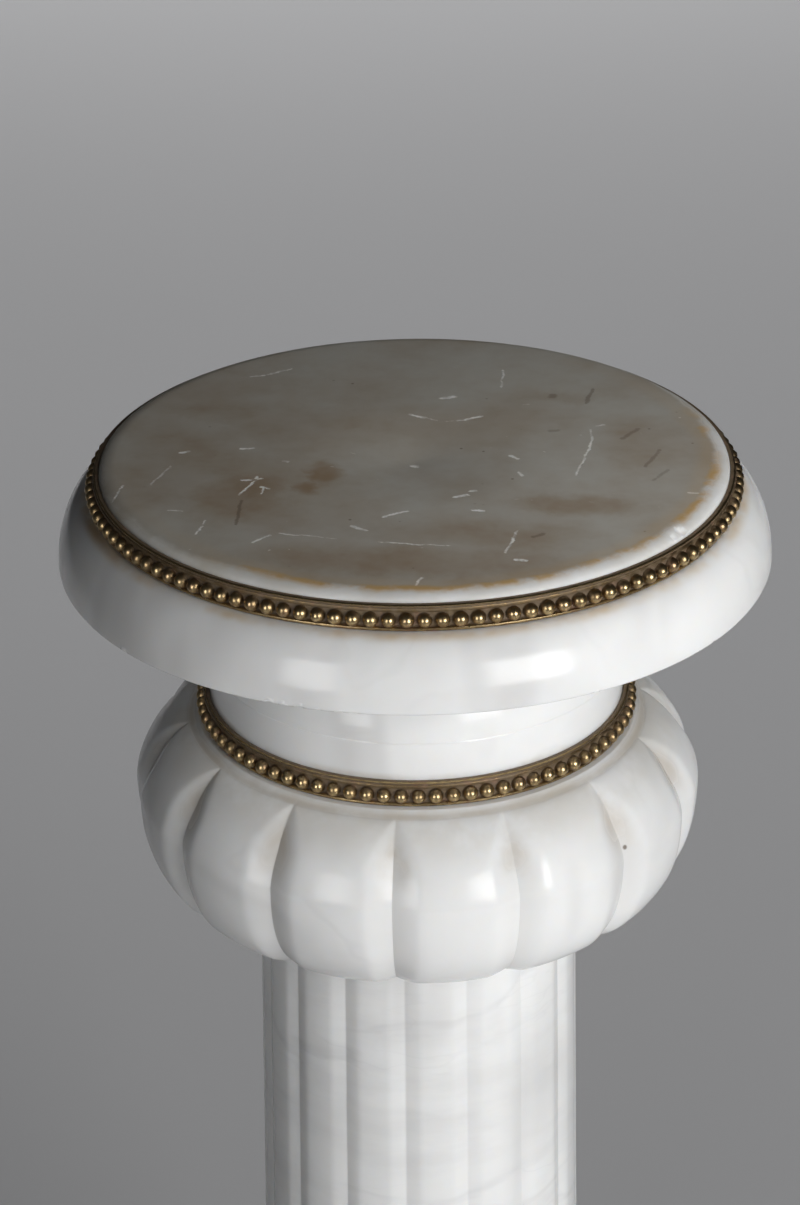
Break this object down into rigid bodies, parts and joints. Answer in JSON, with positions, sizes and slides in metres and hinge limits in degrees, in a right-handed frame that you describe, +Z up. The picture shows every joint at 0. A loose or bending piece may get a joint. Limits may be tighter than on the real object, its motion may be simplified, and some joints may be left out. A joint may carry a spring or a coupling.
{
  "type": "pedestal column",
  "caption": "Free-standing round pedestal column in white alabaster: disc-topped slab, gadrooned capital, reeded shaft, turned foot and plinth, with beaded brass rings.",
  "frame": {"origin": "middle of the plinth's underside, on the surface the column stands on", "axes": "+Z up along the column's axis, towards the top disc; -Y is the side the picture is taken from, and a groove of the bulb and a crease of the shaft face it"},
  "size_m": [0.321, 0.321, 1.0595],
  "materials": {
    "alabaster": "polished white alabaster with faint grey veins, worn and stained on the top face",
    "brass": "aged gilt brass, dark in the recesses and rubbed bright on the beads"
  },
  "bodies": {
    "root": {"plinth": "alabaster", "turned_foot": "alabaster", "foot_band": "brass", "reeded_shaft": "alabaster", "gadrooned_capital": "alabaster", "neck_ring": "brass", "top_slab": "alabaster", "top_ring": "brass"}
  },
  "joints": []
}
